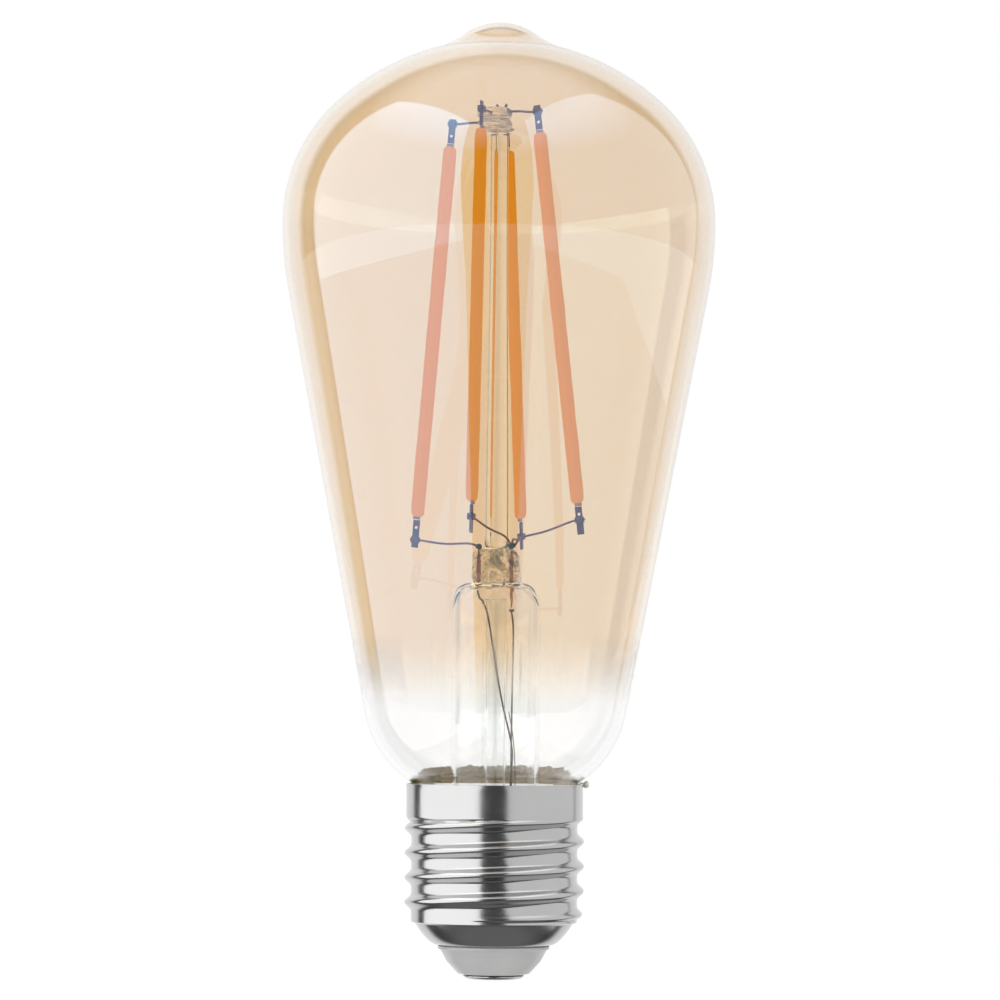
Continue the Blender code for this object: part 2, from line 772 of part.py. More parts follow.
def build_stem_wires():
    seal_top = press_top + 0.05
    left_end = press_bottom - 0.6
    right_end = press_bottom - 3.4
    for side, place, end in (("left", left_seal, left_end), ("right", right_seal, right_end)):
        points = [(place, -seal_front, height) for height in (seal_top, (seal_top + end) / 2, end)]
        wire("seal_wire_" + side, points, seal_wire, copper(), spans=1)
    land = board_top + seat_gap
    flare_top = neck_bottom + flare_height
    right = [
        (right_seal, -seal_front, right_end - seat_gap),
        (right_seal + 0.35, -seal_front, right_end - 3.0),
        (right_seal + 0.25, 0, (right_end + flare_top) / 2),
        (right_seal + 0.2, -0.2, flare_top),
        (right_seal + 0.9, -1.0, neck_bottom),
        (right_seal + 2.0, -2.3, land + 1.2),
        (right_seal + 2.2, -2.5, land),
    ]
    wire("stem_lead_right", right, stem_wire, lead_metal())
    drop = left_end - flare_top
    left = [
        (left_seal, -seal_front, left_end - seat_gap),
        (left_seal + 0.2, -seal_front - 0.3, left_end - 1.2),
        (-1.3, -2.2, left_end - 3.0),
        (0.3, -2.5, left_end - drop * 0.47),
        (1.3, -2.4, left_end - drop * 0.65),
        (2.5, -2.2, left_end - drop * 0.85),
        (2.2, -2.4, flare_top - 0.5),
        (2.2, -3.4, neck_bottom),
        (2.6, -4.5, land + 1.2),
        (2.6, -4.7, land),
    ]
    wire("stem_lead_left", left, stem_wire, lead_metal())


def build_driver():
    liner = [
        (liner_radius, liner_top), (liner_radius, liner_bottom),
        (liner_radius - liner_wall, liner_bottom), (liner_radius - liner_wall, liner_top),
    ]
    turned("insulating_liner", liner, liner_white(), steps=32, loop=True)
    rod("driver_board", board_radius, board_thick, (0, 0, board_bottom + board_thick / 2), board_green(), sides=32)

    ceiling = board_bottom - seat_gap

    def hung(angle, inset, length):
        reach = board_radius - inset
        turn = math.radians(angle)
        return (reach * math.cos(turn), reach * math.sin(turn), ceiling - length / 2)

    inset = capacitor_radius + edge_margin
    rod("smoothing_capacitor", capacitor_radius, capacitor_length, hung(200, inset, capacitor_length),
        black_resin(), soften=0.4)
    inset = inductor_radius + edge_margin
    rod("power_inductor", inductor_radius, inductor_length, hung(-35, inset, inductor_length),
        copper(), soften=0.5)
    inset = resistor_radius + edge_margin
    rod("fusible_resistor", resistor_radius, resistor_length, hung(-90, inset, resistor_length),
        liner_white(), sides=12, soften=0.4)
    box("driver_chip", chip_size, hung(100, 3.6, chip_size[2]), black_resin(), soften=0.15)
    box("bridge_rectifier", rectifier_size, hung(45, 3.4, rectifier_size[2]), black_resin(), soften=0.15)

    floor = board_top + seat_gap
    along, across = module_place
    box("wireless_module", module_size, (along, across, floor + module_size[2] / 2), board_green())
    shield_floor = floor + module_size[2] + seat_gap
    box("module_shield", shield_size, (along - 0.8, across, shield_floor + shield_size[2] / 2), nickel_plate(), soften=0.2)


def build_cap_wires():
    """The wire to the centre contact, the wire over the rim of the shell, and its solder."""
    beside = nail_radius + wire_gap + stem_wire
    points = [(beside, 0, board_bottom - seat_gap), (beside + 0.4, 0, insulator_top + 4), (beside, 0, nail_height), (beside, 0, 2.0)]
    wire("contact_wire", points, stem_wire, copper())
    points = [
        (board_radius - 1.4, 0, board_top + seat_gap),
        (board_radius - 1.2, 0, board_top + 2.5),
        (liner_radius - liner_wall - 0.5, 0, liner_top - 0.5),
        (side_wire_place, 0, neck_bottom + 0.2),
        (side_wire_place, 0, shell_height - 1.6),
        (side_wire_place, 0, shell_height - 0.55),
        (side_wire_place + 0.2, 0, shell_height + 0.12),
        (collar_radius - 0.2, 0, shell_height + 0.26),
        (collar_radius + 0.12, 0, shell_height + 0.16),
    ]
    wire("shell_wire", points, shell_wire, lead_metal(), spans=2)
    mesh = bpy.data.meshes.new("side_solder")
    form = bmesh.new()
    bmesh.ops.create_uvsphere(form, u_segments=12, v_segments=8, radius=1.0)
    bmesh.ops.scale(form, vec=Vector((solder_depth, 0.8, 0.5)) * mm, verts=form.verts)
    form.to_mesh(mesh)
    form.free()
    blob = finish(bpy.data.objects.new("side_solder", mesh), solder())
    blob.location = Vector((collar_radius + solder_depth + 0.05, 0.0, shell_height)) * mm


def main():
    clear_scene()
    build_envelope()
    build_shell()
    build_insulator()
    build_contact()
    build_cement()
    build_stem()
    build_button()
    for index in range(4):
        build_filament(index)
    build_cage_wires()
    build_stem_wires()
    build_driver()
    build_cap_wires()


main()
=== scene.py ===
import math

import bpy
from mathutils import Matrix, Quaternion, Vector, noise


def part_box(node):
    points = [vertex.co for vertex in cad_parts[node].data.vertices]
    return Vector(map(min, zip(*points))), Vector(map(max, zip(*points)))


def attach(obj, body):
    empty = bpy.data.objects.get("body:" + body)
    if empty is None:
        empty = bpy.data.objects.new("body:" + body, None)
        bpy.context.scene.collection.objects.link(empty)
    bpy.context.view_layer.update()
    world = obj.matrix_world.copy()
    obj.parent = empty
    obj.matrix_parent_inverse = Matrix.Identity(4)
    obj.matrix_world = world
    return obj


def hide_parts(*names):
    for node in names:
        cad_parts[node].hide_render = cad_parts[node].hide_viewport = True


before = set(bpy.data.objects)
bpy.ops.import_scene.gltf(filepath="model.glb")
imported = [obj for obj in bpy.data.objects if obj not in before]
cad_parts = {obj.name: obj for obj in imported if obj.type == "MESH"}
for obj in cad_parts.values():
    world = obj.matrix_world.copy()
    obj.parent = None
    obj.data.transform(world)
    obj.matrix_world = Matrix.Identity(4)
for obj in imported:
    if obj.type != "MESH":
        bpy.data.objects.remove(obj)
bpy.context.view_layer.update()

mm = 0.001


def deselectAll():
    if bpy.context.object and bpy.context.object.mode != "OBJECT":
        bpy.ops.object.mode_set(mode="OBJECT")
    bpy.ops.object.select_all(action="DESELECT")


def pick(piece):
    deselectAll()
    piece.select_set(True)
    bpy.context.view_layer.objects.active = piece


def settle(piece, smoothAngle=40):
    # the place goes into the mesh, and the shading is smooth up to an angle
    pick(piece)
    bpy.ops.object.transform_apply(location=True, rotation=True, scale=True)
    bpy.ops.object.shade_smooth_by_angle(angle=math.radians(smoothAngle))
    return piece


def applyModifier(piece, kind, **settings):
    pick(piece)
    made = piece.modifiers.new(kind.lower(), kind)
    for key, value in settings.items():
        setattr(made, key, value)
    bpy.ops.object.modifier_apply(modifier=made.name)


def turnPiece(name, outline, steps, ring=False):
    # draw an outline of (radius, height) point by point, then spin it round the axis
    deselectAll()
    start = Vector((outline[0][0] * mm, 0, outline[0][1] * mm))
    bpy.ops.mesh.primitive_plane_add(size=mm, location=start)
    piece = bpy.context.object
    piece.name = piece.data.name = name
    bpy.ops.object.mode_set(mode="EDIT")
    bpy.ops.mesh.merge(type="CENTER")
    points = outline + [outline[0]] if ring else outline
    for (radius, height), (nextRadius, nextHeight) in zip(points, points[1:]):
        move = ((nextRadius - radius) * mm, 0, (nextHeight - height) * mm)
        bpy.ops.mesh.extrude_region_move(TRANSFORM_OT_translate={"value": move})
    bpy.ops.mesh.select_all(action="SELECT")
    bpy.ops.mesh.spin(steps=steps, angle=2 * math.pi, center=(0, 0, 0), axis=(0, 0, 1))
    bpy.ops.mesh.select_all(action="SELECT")
    bpy.ops.mesh.remove_doubles(threshold=1e-7)
    bpy.ops.mesh.normals_make_consistent(inside=False)
    bpy.ops.object.mode_set(mode="OBJECT")
    return settle(piece)


def copyNode(node, name):
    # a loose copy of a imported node, with its triangles merged
    deselectAll()
    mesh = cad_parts[node].data.copy()
    mesh.materials.clear()
    piece = bpy.data.objects.new(name, mesh)
    bpy.context.scene.collection.objects.link(piece)
    pick(piece)
    bpy.ops.object.mode_set(mode="EDIT")
    bpy.ops.mesh.select_all(action="SELECT")
    bpy.ops.mesh.remove_doubles(threshold=2e-6)
    bpy.ops.mesh.tris_convert_to_quads(
        face_threshold=math.radians(30), shape_threshold=math.radians(60))
    bpy.ops.object.mode_set(mode="OBJECT")
    return piece


def place(piece, finish, slot, *nodes):
    # the piece takes its finish, stands in for its nodes and rides on the one body
    piece.data.materials.clear()
    piece.data.materials.append(finish)
    if nodes:
        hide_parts(*nodes)
    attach(piece, "root")
    return piece


def arc(centre, radius, start, end, count):
    # points on a circle between two angles in degrees
    turns = [math.radians(start + (end - start) * i / count) for i in range(count + 1)]
    return [(centre[0] + radius * math.cos(a), centre[1] + radius * math.sin(a)) for a in turns]


def ease(low, high, value):
    t = min(max((value - low) / (high - low), 0.0), 1.0)
    return t * t * (3 - 2 * t)


def outward(spot):
    # the direction away from the axis
    return Vector((spot.x, spot.y, 0)).normalized()


def lumpyBall(name, centre, size, lumps, depth, seed=0):
    deselectAll()
    bpy.ops.mesh.primitive_ico_sphere_add(subdivisions=4, radius=1, location=centre, scale=size)
    piece = settle(bpy.context.object, 80)
    piece.name = piece.data.name = name
    for corner in piece.data.vertices:
        swell = noise.noise(corner.co * lumps + Vector((seed, 0, 0)))
        corner.co += (corner.co - centre) * swell * depth
    return piece


def drawWire(name, points, radius):
    # a round wire through points in millimetres
    deselectAll()
    bpy.ops.curve.primitive_nurbs_path_add(location=(0, 0, 0))
    piece = bpy.context.object
    piece.name = piece.data.name = name
    line = piece.data.splines[0]
    line.points.add(max(0, len(points) - len(line.points)))
    while len(line.points) > len(points):
        bpy.ops.object.mode_set(mode="EDIT")
        bpy.ops.curve.select_all(action="DESELECT")
        piece.data.splines[0].points[-1].select = True
        bpy.ops.curve.delete(type="VERT")
        bpy.ops.object.mode_set(mode="OBJECT")
        line = piece.data.splines[0]
    for knot, spot in zip(line.points, points):
        knot.co = (*(Vector(spot) * mm), 1)
    line.order_u = min(4, len(points))
    line.use_endpoint_u = True
    line.resolution_u = 6
    piece.data.bevel_depth = radius * mm
    piece.data.bevel_resolution = 3
    piece.data.use_fill_caps = True
    bpy.ops.object.convert(target="MESH")
    return settle(bpy.context.object)


class Reading:
    # a value socket that takes + - and *
    def __init__(self, finish, socket):
        self.finish = finish
        self.socket = socket

    def maths(self, operation, first, second):
        sockets = {0: first, 1: second}
        return self.finish.node("ShaderNodeMath", {"operation": operation}, sockets).value(0)

    def __add__(self, other):
        return self.maths("ADD", self, other)

    def __sub__(self, other):
        return self.maths("SUBTRACT", self, other)

    def __rsub__(self, other):
        return self.maths("SUBTRACT", other, self)

    def __mul__(self, other):
        return self.maths("MULTIPLY", self, other)


class Placed:
    # a node on the tree, which hands out its sockets
    def __init__(self, finish, raw):
        self.finish = finish
        self.raw = raw

    def value(self, key):
        return Reading(self.finish, self.raw.outputs[key])


socketTitles = {
    "colour": "Base Color", "rough": "Roughness", "metal": "Metallic", "normal": "Normal", "ior": "IOR",
    "clear": "Transmission Weight", "tint": "Specular Tint", "level": "Specular IOR Level",
    "coat": "Coat Weight", "coatRough": "Coat Roughness",
    "glow": "Emission Color", "glowLevel": "Emission Strength",
}


class Finish:
    # one procedural material, with sizes in millimetres on object coordinates
    def __init__(self, name):
        self.material = bpy.data.materials.new(name)
        self.material.use_nodes = True
        self.tree = self.material.node_tree
        self.tree.nodes.clear()
        self.end = self.node("ShaderNodeOutputMaterial", {}, {})
        self.coords = self.node("ShaderNodeTexCoord", {}, {}).value("Object")

    def node(self, kind, settings, sockets):
        raw = self.tree.nodes.new(kind)
        for key, value in settings.items():
            if key == "stops":
                self.fillRamp(raw.color_ramp, value)
            else:
                setattr(raw, key, value)
        for key, value in sockets.items():
            if isinstance(value, Reading):
                self.tree.links.new(value.socket, raw.inputs[key])
            else:
                raw.inputs[key].default_value = value
        return Placed(self, raw)

    def fillRamp(self, ramp, stops):
        while len(ramp.elements) < len(stops):
            ramp.elements.new(1)
        for element, (spot, colour) in zip(ramp.elements, stops):
            element.position = spot
            element.color = (*colour, 1)

    def scaled(self, stretch):
        # object coordinates stretched by a number for each axis
        sockets = {0: self.coords, 1: stretch}
        return self.node("ShaderNodeVectorMath", {"operation": "MULTIPLY"}, sockets).value(0)

    def grain(self, size, detail=3, rough=0.5, stretch=(1, 1, 1), warp=0.0):
        # soft noise whose lumps are about size millimetres across
        spread = [s / (size * mm) for s in stretch]
        sockets = {"Vector": self.scaled(spread), "Scale": 1.0, "Detail": detail,
                   "Roughness": rough, "Distortion": warp}
        return self.node("ShaderNodeTexNoise", {}, sockets).value("Fac")

    def cells(self, size, feature="F1"):
        # distance from the nearest of many scattered points, size millimetres apart
        sockets = {"Vector": self.scaled([1 / (size * mm)] * 3), "Scale": 1.0}
        return self.node("ShaderNodeTexVoronoi", {"feature": feature}, sockets).value("Distance")

    def along(self, axis):
        # the place along one axis of the piece
        split = self.node("ShaderNodeSeparateXYZ", {}, {0: self.coords})
        return split.value(axis)

    def between(self, value, low, high, toLow=0.0, toHigh=1.0):
        sockets = {0: value, 1: low, 2: high, 3: toLow, 4: toHigh}
        settings = {"interpolation_type": "SMOOTHSTEP"}
        return self.node("ShaderNodeMapRange", settings, sockets).value(0)

    def ramp(self, value, *stops):
        return self.node("ShaderNodeValToRGB", {"stops": stops}, {0: value}).value(0)

    def blend(self, share, first, second):
        first = first if isinstance(first, Reading) else (*first, 1)
        second = second if isinstance(second, Reading) else (*second, 1)
        sockets = {0: share, 6: first, 7: second}
        return self.node("ShaderNodeMix", {"data_type": "RGBA"}, sockets).value(2)

    def bumps(self, height, depth, strength):
        sockets = {"Height": height, "Distance": depth * mm, "Strength": strength}
        return self.node("ShaderNodeBump", {}, sockets).value(0)

    def surface(self, **sockets):
        named = {}
        for key, value in sockets.items():
            colour = key in ("colour", "tint", "glow") and not isinstance(value, Reading)
            named[socketTitles[key]] = (*value, 1) if colour else value
        return self.node("ShaderNodeBsdfPrincipled", {}, named).value("BSDF")

    def done(self, shader):
        self.tree.links.new(shader.socket, self.end.raw.inputs["Surface"])
        return self.material

    def finished(self, **sockets):
        return self.done(self.surface(**sockets))


def letsLightIn(finish, shader, tint):
    # light for what stands behind the glass goes straight through it
    asked = finish.node("ShaderNodeLightPath", {}, {}).value("Is Shadow Ray")
    opening = finish.node("ShaderNodeBsdfTransparent", {}, {"Color": (*tint, 1)}).value(0)
    return finish.done(finish.node("ShaderNodeMixShader", {}, {0: asked, 1: shader, 2: opening}).value(0))


amberLook = {
    "plain": (0.99, 0.99, 0.992),
    "pale": (0.972, 0.972, 0.975),
    "amber": (0.93, 0.815, 0.655),
    "fadeLow": 38.5 * mm,
    "fadeHigh": 51.5 * mm,
    "raggedBy": 2.5 * mm,
    "rimLow": 0.55,
    "rimHigh": 0.75,
    "rimLeft": 0.45,
    "filmIor": 2.2,
    "plainIor": 1.5,
    "sheen": (0.20, 0.52, 1.0),
    "shade": (0.97, 0.90, 0.78),
}


def amberGlass():
    # clear glass at the foot, and glass with an amber film above it
    look = amberLook
    made = Finish("amberGlass")
    ragged = (made.grain(9, 2) - 0.5) * look["raggedBy"]
    coated = made.between(made.along(2) + ragged, look["fadeLow"], look["fadeHigh"])
    # the coat is painted paler where it is seen edge on, a painted highlight that stands in for the whitish
    # band the glass wall gives at its silhouette
    facing = made.node("ShaderNodeLayerWeight", {}, {"Blend": 0.5}).value("Facing")
    rim = made.between(facing, look["rimLow"], look["rimHigh"], 1.0, look["rimLeft"])
    colour = made.blend(rim * (made.grain(38, 2) * 0.12 + 0.94), look["pale"], look["amber"])
    film = made.surface(colour=colour, rough=0.0, ior=look["filmIor"], clear=1.0, tint=look["sheen"])
    plain = made.surface(colour=look["plain"], rough=0.0, ior=look["plainIor"], clear=1.0)
    glass = made.node("ShaderNodeMixShader", {}, {0: coated, 1: plain, 2: film}).value(0)
    return letsLightIn(made, glass, look["shade"])


def clearGlass():
    made = Finish("clearGlass")
    streaks = made.grain(2.4, 2, stretch=(1, 1, 0.08))
    colour = made.ramp(streaks, (0.3, (0.95, 0.96, 0.95)), (0.7, (0.985, 0.985, 0.985)))
    glass = made.surface(colour=colour, rough=0.0, ior=1.5, clear=1.0)
    return letsLightIn(made, glass, (0.96, 0.96, 0.96))


def pressGlass():
    made = Finish("pressGlass")
    folds = made.grain(2.7, 2, warp=1.5)
    # the dark and bright bands in the colour are painted shade and painted highlights, standing in for light
    # bent and mirrored by the crumpled glass
    colour = made.ramp(
        folds, (0.36, (0.15, 0.13, 0.07)), (0.45, (0.58, 0.54, 0.40)), (0.54, (0.92, 0.88, 0.77)),
        (0.62, (0.32, 0.29, 0.19)), (0.70, (0.93, 0.90, 0.80)))
    skin = made.bumps(made.grain(1.8, 2, warp=1.0), 0.5, 0.9)
    glass = made.surface(colour=colour, rough=0.04, ior=1.5, clear=0.93, normal=skin)
    return letsLightIn(made, glass, (0.85, 0.82, 0.74))


def buttonGlass():
    made = Finish("buttonGlass")
    rings = made.grain(0.9, 2, stretch=(0.3, 0.3, 1.7), warp=0.8)
    # the dark and pale rings in the colour are painted shade and painted highlights of the grooves in the
    # glass
    colour = made.ramp(
        rings, (0.38, (0.34, 0.29, 0.20)), (0.5, (0.80, 0.74, 0.60)), (0.62, (0.95, 0.91, 0.82)))
    skin = made.bumps(made.grain(1.0, 2), 0.2, 0.8)
    glass = made.surface(colour=colour, rough=0.03, ior=1.5, clear=0.92, normal=skin)
    return letsLightIn(made, glass, (0.88, 0.86, 0.80))


def phosphorGel():
    made = Finish("phosphorGel")
    mottle = made.grain(3.5, 3)
    grit = made.grain(0.12, 2)
    ends = made.between(made.grain(14, 1, stretch=(1, 1, 0.35)), 0.35, 0.7)
    deep = made.blend(mottle, (0.84, 0.32, 0.010), (0.95, 0.42, 0.022))
    colour = made.blend(ends * 0.35, deep, (0.95, 0.45, 0.06))
    rough = made.between(mottle, 0.3, 0.7, 0.42, 0.6)
    skin = made.bumps(grit * 0.15 + made.grain(1.6, 2), 0.03, 0.4)
    # the orange glow is painted light: the coat glows, though it is no lamp, to stand in for light reaching
    # it through the glass
    return made.finished(
        colour=colour, rough=rough, level=0.15, normal=skin, glow=(0.92, 0.41, 0.003), glowLevel=0.6)


def tabSteel():
    made = Finish("tabSteel")
    wear = made.grain(0.7, 3)
    colour = made.ramp(
        wear, (0.3, (0.12, 0.045, 0.012)), (0.6, (0.22, 0.09, 0.026)), (0.8, (0.38, 0.20, 0.085)))
    scratch = made.grain(0.25, 2, stretch=(1, 1, 0.1))
    rough = made.between(wear, 0.2, 0.8, 0.35, 0.55)
    return made.finished(colour=colour, rough=rough, metal=0.3, normal=made.bumps(scratch, 0.02, 0.5))


def leadMetal(name, deep, middle, worn):
    made = Finish(name)
    wear = made.grain(1.8, 3)
    colour = made.ramp(wear, (0.30, deep), (0.52, middle), (0.75, worn))
    skin = made.bumps(made.grain(0.2, 2), 0.015, 0.6)
    rough = made.between(wear, 0.2, 0.8, 0.35, 0.6)
    return made.finished(colour=colour, rough=rough, metal=0.3, normal=skin)


def sealCopper():
    made = Finish("sealCopper")
    wear = made.grain(1.4, 3, stretch=(1, 1, 0.5))
    colour = made.ramp(
        wear, (0.3, (0.55, 0.13, 0.035)), (0.55, (0.85, 0.27, 0.08)), (0.75, (0.92, 0.42, 0.18)))
    skin = made.bumps(made.grain(0.22, 2), 0.02, 0.6)
    rough = made.between(wear, 0.2, 0.8, 0.35, 0.55)
    return made.finished(colour=colour, rough=rough, metal=0.1, normal=skin)


nickelLook = {"colour": (0.59, 0.59, 0.587), "dull": (0.52, 0.52, 0.52)}


def nickelPlate():
    made = Finish("nickelPlate")
    rolled = made.grain(0.35, 3, stretch=(0.02, 0.02, 1))
    cloud = made.grain(6, 3)
    specks = made.between(made.cells(1.3), 0.03, 0.07)
    colour = made.blend(cloud * specks, nickelLook["dull"], nickelLook["colour"])
    rough = made.between(cloud, 0.3, 0.7, 0.14, 0.18) + rolled * 0.05
    skin = made.bumps(rolled + made.grain(3.5, 1) * 0.4, 0.004, 0.5)
    return made.finished(colour=colour, rough=rough, metal=1.0, normal=skin)


def contactPlate():
    made = Finish("contactPlate")
    rolled = made.grain(0.5, 3, stretch=(1, 1, 0.2))
    scuff = made.grain(0.9, 4, warp=1.0)
    colour = made.ramp(scuff, (0.3, (0.48, 0.47, 0.46)), (0.6, (0.70, 0.70, 0.69)))
    skin = made.bumps(rolled, 0.01, 0.5)
    rough = made.between(scuff, 0.3, 0.7, 0.12, 0.3)
    return made.finished(colour=colour, rough=rough, metal=1.0, normal=skin)


def bakedCement():
    made = Finish("bakedCement")
    lumps = made.grain(1.1, 4, rough=0.65)
    olive = made.ramp(
        lumps, (0.25, (0.085, 0.055, 0.008)), (0.45, (0.21, 0.15, 0.03)),
        (0.62, (0.34, 0.25, 0.06)), (0.78, (0.55, 0.44, 0.18)))
    pale = made.ramp(made.grain(0.8, 3), (0.3, (0.70, 0.62, 0.50)), (0.6, (0.95, 0.90, 0.82)))
    # olive, with a pale crust on one side
    side = made.between(made.along(0) + (made.grain(2.2, 3) - 0.5) * (7 * mm), 4.5 * mm, 7.5 * mm)
    colour = made.blend(side, olive, pale)
    specks = 1 - made.between(made.cells(0.9), 0.10, 0.22)
    colour = made.blend(specks * 0.6, colour, (0.62, 0.40, 0.06))
    skin = made.bumps(lumps + made.grain(0.3, 3) * 0.4, 0.35, 0.9)
    rough = made.between(lumps, 0.2, 0.8, 0.6, 0.9)
    # the glow of its own colour is painted light, which brightens the cement as if more light fell on it
    return made.finished(colour=colour, rough=rough, normal=skin, level=0.2, glow=colour, glowLevel=0.18)


def insulatorGlass():
    made = Finish("insulatorGlass")
    cloud = made.grain(5, 3)
    flecks = made.between(made.cells(0.8), 0.05, 0.14)
    colour = made.blend(cloud, (0.34, 0.34, 0.34), (0.42, 0.42, 0.415))
    colour = made.blend(flecks, (0.28, 0.28, 0.28), colour)
    skin = made.bumps(made.grain(0.5, 3), 0.02, 0.5)
    rough = made.between(cloud, 0.3, 0.7, 0.28, 0.42)
    return made.finished(colour=colour, rough=rough, normal=skin, coat=0.25, coatRough=0.12)


def brightSolder():
    made = Finish("brightSolder")
    frost = made.grain(0.3, 4)
    colour = made.ramp(frost, (0.3, (0.50, 0.49, 0.47)), (0.65, (0.82, 0.81, 0.79)))
    skin = made.bumps(made.grain(0.25, 3), 0.04, 0.7)
    rough = made.between(frost, 0.3, 0.7, 0.35, 0.5)
    return made.finished(colour=colour, rough=rough, metal=0.4, normal=skin)


def boardGreen():
    made = Finish("boardGreen")
    weave = made.grain(0.35, 2)
    tracks = made.between(made.cells(2.2, "SMOOTH_F1"), 0.42, 0.5)
    colour = made.blend(tracks, (0.02, 0.16, 0.07), (0.035, 0.25, 0.11))
    skin = made.bumps(tracks + weave * 0.2, 0.03, 0.6)
    rough = made.between(weave, 0.3, 0.7, 0.3, 0.45)
    return made.finished(colour=colour, rough=rough, normal=skin, coat=0.3, coatRough=0.2)


def blackResin():
    made = Finish("blackResin")
    grit = made.grain(0.18, 3)
    colour = made.ramp(grit, (0.3, (0.012, 0.012, 0.013)), (0.7, (0.035, 0.035, 0.037)))
    rough = made.between(grit, 0.3, 0.7, 0.4, 0.6)
    return made.finished(colour=colour, rough=rough, normal=made.bumps(grit, 0.02, 0.6))


def linerFilm():
    made = Finish("linerFilm")
    cloud = made.grain(3, 3)
    colour = made.blend(cloud, (0.72, 0.72, 0.69), (0.84, 0.84, 0.81))
    skin = made.bumps(made.grain(0.6, 2), 0.03, 0.5)
    rough = made.between(cloud, 0.3, 0.7, 0.45, 0.6)
    return made.finished(colour=colour, rough=rough, normal=skin)


def woundCopper():
    made = Finish("woundCopper")
    sockets = {"Vector": made.coords, "Scale": 900.0, "Distortion": 0.4}
    turns = made.node("ShaderNodeTexWave", {"bands_direction": "Z"}, sockets)
    shade = made.grain(1.2, 2)
    colour = made.ramp(shade, (0.3, (0.50, 0.16, 0.05)), (0.7, (0.78, 0.34, 0.14)))
    skin = made.bumps(turns.value("Fac"), 0.08, 0.9)
    rough = made.between(shade, 0.3, 0.7, 0.25, 0.4)
    return made.finished(colour=colour, rough=rough, metal=0.85, normal=skin)


def stripCeramic():
    made = Finish("stripCeramic")
    cloud = made.grain(1.5, 3)
    colour = made.blend(cloud, (0.80, 0.80, 0.76), (0.90, 0.90, 0.87))
    rough = made.between(cloud, 0.3, 0.7, 0.35, 0.5)
    return made.finished(colour=colour, rough=rough, normal=made.bumps(made.grain(0.2, 2), 0.01, 0.5))


def chipSapphire():
    made = Finish("chipSapphire")
    dice = made.grain(0.4, 2)
    colour = made.ramp(dice, (0.3, (0.42, 0.50, 0.62)), (0.7, (0.62, 0.68, 0.76)))
    rough = made.between(dice, 0.3, 0.7, 0.12, 0.25)
    return made.finished(colour=colour, rough=rough, normal=made.bumps(dice, 0.01, 0.4))


print("finishes")
amber = amberGlass()
clear = clearGlass()
pressed = pressGlass()
ringed = buttonGlass()
gel = phosphorGel()
steel = tabSteel()
lead = leadMetal("brownLead", (0.18, 0.06, 0.012), (0.32, 0.12, 0.025), (0.50, 0.22, 0.06))
darkLead = leadMetal("darkLead", (0.035, 0.026, 0.020), (0.085, 0.062, 0.048), (0.20, 0.155, 0.13))
copper = sealCopper()
nickel = nickelPlate()
plate = contactPlate()
cement = bakedCement()
insulator = insulatorGlass()
solder = brightSolder()
linerWhite = linerFilm()

# nodes that keep their shape and get a finish, by the start of their names
keeps = {
    "driver_board": boardGreen(), "wireless_module": boardGreen(),
    "smoothing_capacitor": blackResin(), "driver_chip": blackResin(), "bridge_rectifier": blackResin(),
    "power_inductor": woundCopper(), "fusible_resistor": linerWhite, "insulating_liner": linerWhite,
    "module_shield": plate, "contact_wire": copper,
    "substrate_strip_": stripCeramic(), "led_chips_": chipSapphire(),
}
for node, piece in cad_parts.items():
    for start, finish in keeps.items():
        if node.startswith(start):
            for held in piece.material_slots:
                held.material = finish


# the glass envelope
print("envelope")
envelope = {
    "body": 32.0, "widest": 111.5, "shoulder": 23.8, "crownTurn": 46.0, "pipRise": 2.6, "pipBall": 9.2,
    "flank": 55.0, "bottom": 15.5, "bottomIn": 4.0, "neck": 11.4, "fillet": 2.0, "neckTop": 27.1,
    "neckEnd": 24.0, "wall": 0.8, "steps": 144, "waves": 28, "waveDepth": 0.07,
}


def bottomHeight():
    # where the circle of the envelope's foot has its centre
    e = envelope
    reach = e["neck"] + e["fillet"] - e["bottomIn"]
    return e["neckTop"] + math.sqrt((e["bottom"] + e["fillet"]) ** 2 - reach ** 2)


def envelopeOutline():
    # pip, crown, shoulder, flank, straight taper, foot, fillet and neck, all tangent but the pip
    e = envelope
    turn = math.radians(e["crownTurn"])
    crown = e["shoulder"] + (e["body"] - e["shoulder"]) / math.cos(turn)
    crownAt = e["widest"] - (e["body"] - e["shoulder"]) * math.tan(turn)
    pipAt = crownAt + crown + e["pipRise"] - e["pipBall"]
    rise = pipAt - crownAt
    meet = (crown ** 2 - e["pipBall"] ** 2 + rise ** 2) / (2 * rise)
    pipEnd = math.degrees(math.asin((meet - rise) / e["pipBall"]))
    crownStart = math.degrees(math.asin(meet / crown))
    bottomAt = bottomHeight()
    across, down = e["bottomIn"] - (e["body"] - e["flank"]), e["widest"] - bottomAt
    taper = math.degrees(
        math.atan2(down, across) - math.acos((e["flank"] - e["bottom"]) / math.hypot(down, across)))
    under = math.degrees(math.atan2(bottomAt - e["neckTop"], e["neck"] + e["fillet"] - e["bottomIn"]))
    line = arc((0, pipAt), e["pipBall"], 90, pipEnd + 9, 12)
    line += arc((0, crownAt), crown, crownStart - 2.6, e["crownTurn"], 18)
    line += arc((e["body"] - e["shoulder"], e["widest"]), e["shoulder"], e["crownTurn"], 0, 16)[1:]
    line += arc((e["body"] - e["flank"], e["widest"]), e["flank"], 0, -taper, 10)[1:]
    foot = arc((e["bottomIn"], bottomAt), e["bottom"], -taper, -under, 16)
    radius, height = line[-1]
    line += [(radius + (foot[0][0] - radius) * k / 6, height + (foot[0][1] - height) * k / 6)
             for k in range(1, 6)]
    line += foot
    line += arc((e["neck"] + e["fillet"], e["neckTop"]), e["fillet"], 180 - under, 180, 6)[1:]
    line.append((e["neck"], e["neckEnd"]))
    line[0] = (0.0, line[0][1])
    return line


